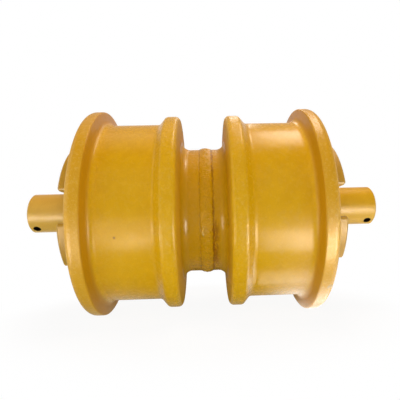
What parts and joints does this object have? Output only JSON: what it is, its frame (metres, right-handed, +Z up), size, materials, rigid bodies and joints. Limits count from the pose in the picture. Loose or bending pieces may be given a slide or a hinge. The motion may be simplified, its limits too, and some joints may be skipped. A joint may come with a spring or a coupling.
{
  "type": "double flange track roller",
  "caption": "Sealed track roller of a crawler undercarriage: a welded shell with double flanges turns on a fixed shaft between channelled end collars.",
  "frame": {"origin": "on the shaft's axis at the middle of its length, which is the middle of the whole roller", "axes": "+X along the shaft towards the end with the fill plug, +Z up, with the channels of the end collars running level along Y"},
  "size_m": [0.376, 0.219, 0.219],
  "materials": {
    "roller_paint": "satin",
    "collar_paint": "satin",
    "shaft_paint": "satin",
    "bushing_bronze": "satin",
    "spring_steel": "satin",
    "seal_iron": "polished",
    "seal_rubber": "matte",
    "plug_steel": "satin"
  },
  "bodies": {
    "fixed_shaft": {"shaft": "shaft_paint", "end_collar_left": "collar_paint", "end_collar_right": "collar_paint", "fill_plug": "plug_steel", "plug_seal": "seal_rubber", "collar_pin_left": "spring_steel", "collar_o_ring_left": "seal_rubber", "seal_ring_stator_left": "seal_iron", "toric_stator_left": "seal_rubber", "collar_pin_right": "spring_steel", "collar_o_ring_right": "seal_rubber", "seal_ring_stator_right": "seal_iron", "toric_stator_right": "seal_rubber"},
    "roller": {"roller_shell": "roller_paint", "bushing_left": "bushing_bronze", "snap_ring_left": "spring_steel", "seal_ring_rotor_left": "seal_iron", "toric_rotor_left": "seal_rubber", "bushing_right": "bushing_bronze", "snap_ring_right": "spring_steel", "seal_ring_rotor_right": "seal_iron", "toric_rotor_right": "seal_rubber"}
  },
  "joints": [
    {"name": "roller_spin", "type": "hinge", "parent": "fixed_shaft", "child": "roller", "pos_m": [0, 0, 0], "axis": [1, 0, 0], "continuous": true}
  ]
}
